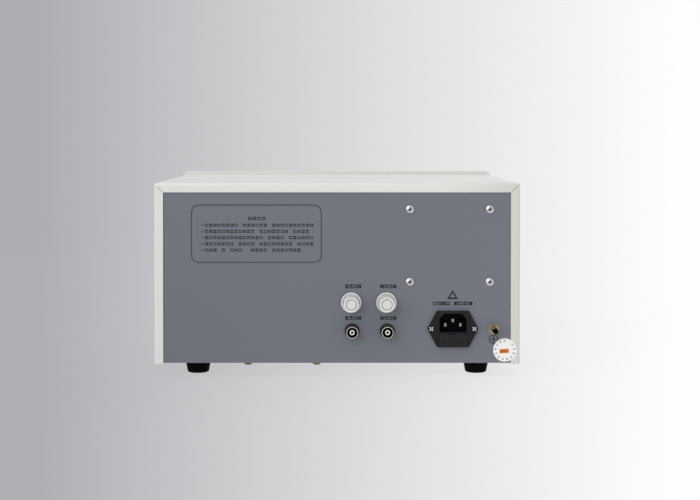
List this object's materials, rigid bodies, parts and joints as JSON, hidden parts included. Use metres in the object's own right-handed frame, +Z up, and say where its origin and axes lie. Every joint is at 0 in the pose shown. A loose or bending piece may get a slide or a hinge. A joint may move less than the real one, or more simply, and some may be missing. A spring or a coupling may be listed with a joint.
{
  "type": "hipot tester",
  "caption": "Bench hipot tester in a folded steel case, with gain knobs, coaxial outputs, fused mains inlet and earth post at the rear and test controls in front.",
  "frame": {"origin": "middle of the outline box, on the surface that the feet stand on", "axes": "+X to the right of someone facing the front, +Y to the rear panel, +Z up"},
  "size_m": [0.345, 0.319, 0.184],
  "materials": {
    "case_paint": "fine-textured cream paint",
    "panel_paint": "blue-grey satin paint",
    "zinc_plate": "zinc plated",
    "rubber": "matte moulded rubber",
    "nickel": "bright nickel plate",
    "fuse_glass": "clear glass with metal ends",
    "brass": "bare turned brass",
    "yellow_zinc": "yellow passivated zinc",
    "knob_plastic": "cream satin plastic",
    "black_plastic": "black satin plastic",
    "insulator": "white insulating plastic",
    "smoked_window": "smoked red transparent plastic",
    "lamp": "diffusing lamp lens",
    "circuit_board": "green solder mask",
    "components": "mixed component bodies",
    "green_plastic": "green moulded plastic",
    "red_plastic": "red moulded plastic",
    "copper_winding": "enamelled copper",
    "core_steel": "laminated core steel"
  },
  "bodies": {
    "chassis": {"wrap_cover": "case_paint", "front_bezel": "case_paint", "rear_panel": "panel_paint", "front_panel": "panel_paint", "base_tray": "zinc_plate", "foot_screws": "zinc_plate", "cover_screws": "zinc_plate", "gain_pots": "zinc_plate", "board_pillars": "zinc_plate", "terminal_nuts": "zinc_plate", "variac_carrier": "zinc_plate", "transformer_brackets": "zinc_plate", "rubber_feet": "rubber", "signal_board_screws": "nickel", "gain_pot_nuts": "nickel", "x_output_socket": "nickel", "y_output_socket": "nickel", "socket_nuts": "nickel", "inlet_pins": "nickel", "inlet_screws": "nickel", "variac_nut": "nickel", "signal_board_pillars": "brass", "earth_post": "brass", "earth_post_hardware": "brass", "socket_contacts": "brass", "terminal_contacts": "brass", "transformer_screws": "yellow_zinc", "transformer_nuts": "yellow_zinc", "socket_washers": "black_plastic", "inlet_housing": "black_plastic", "earth_tip": "black_plastic", "digit_modules": "black_plastic", "button_bodies": "black_plastic", "return_terminal": "black_plastic", "switch_frame": "black_plastic", "socket_insulators": "insulator", "display_window": "smoked_window", "indicator_lamps": "lamp", "signal_board": "circuit_board", "display_board": "circuit_board", "control_board": "circuit_board", "signal_board_parts": "components", "control_board_parts": "components", "hv_terminal": "red_plastic", "variac_coil": "copper_winding", "transformer_coil": "copper_winding", "transformer_core": "core_steel"},
    "x_gain": {"x_gain_knob": "knob_plastic", "x_gain_shaft": "zinc_plate"},
    "y_gain": {"y_gain_knob": "knob_plastic", "y_gain_shaft": "zinc_plate"},
    "fuse_carrier": {"fuse_drawer": "black_plastic", "fuses": "fuse_glass"},
    "voltage_dial": {"voltage_knob": "knob_plastic", "voltage_shaft": "zinc_plate", "variac_brush": "copper_winding"},
    "start_key": {"start_button": "green_plastic"},
    "reset_key": {"reset_button": "red_plastic"},
    "power_key": {"power_rocker": "red_plastic"}
  },
  "joints": [
    {"name": "x_gain_turn", "type": "hinge", "parent": "chassis", "child": "x_gain", "pos_m": [-0.0132, 0.1393, 0.0692], "axis": [0, -1, 0], "range_deg": [-150, 150]},
    {"name": "y_gain_turn", "type": "hinge", "parent": "chassis", "child": "y_gain", "pos_m": [-0.0459, 0.1393, 0.0692], "axis": [0, -1, 0], "range_deg": [-150, 150]},
    {"name": "fuse_drawer_slide", "type": "slide", "parent": "chassis", "child": "fuse_carrier", "axis": [0, 1, 0], "range_m": [0, 0.014]},
    {"name": "voltage_turn", "type": "hinge", "parent": "chassis", "child": "voltage_dial", "pos_m": [0.112, -0.1365, 0.064], "axis": [0, 1, 0], "range_deg": [0, 300]},
    {"name": "start_press", "type": "slide", "parent": "chassis", "child": "start_key", "axis": [0, 1, 0], "range_m": [0, 0.0025], "stiffness_N_per_m": 1200},
    {"name": "reset_press", "type": "slide", "parent": "chassis", "child": "reset_key", "axis": [0, 1, 0], "range_m": [0, 0.0025], "stiffness_N_per_m": 1200},
    {"name": "power_rock", "type": "hinge", "parent": "chassis", "child": "power_key", "pos_m": [-0.134, -0.137, 0.058], "axis": [-1, 0, 0], "range_deg": [0, 20]}
  ]
}
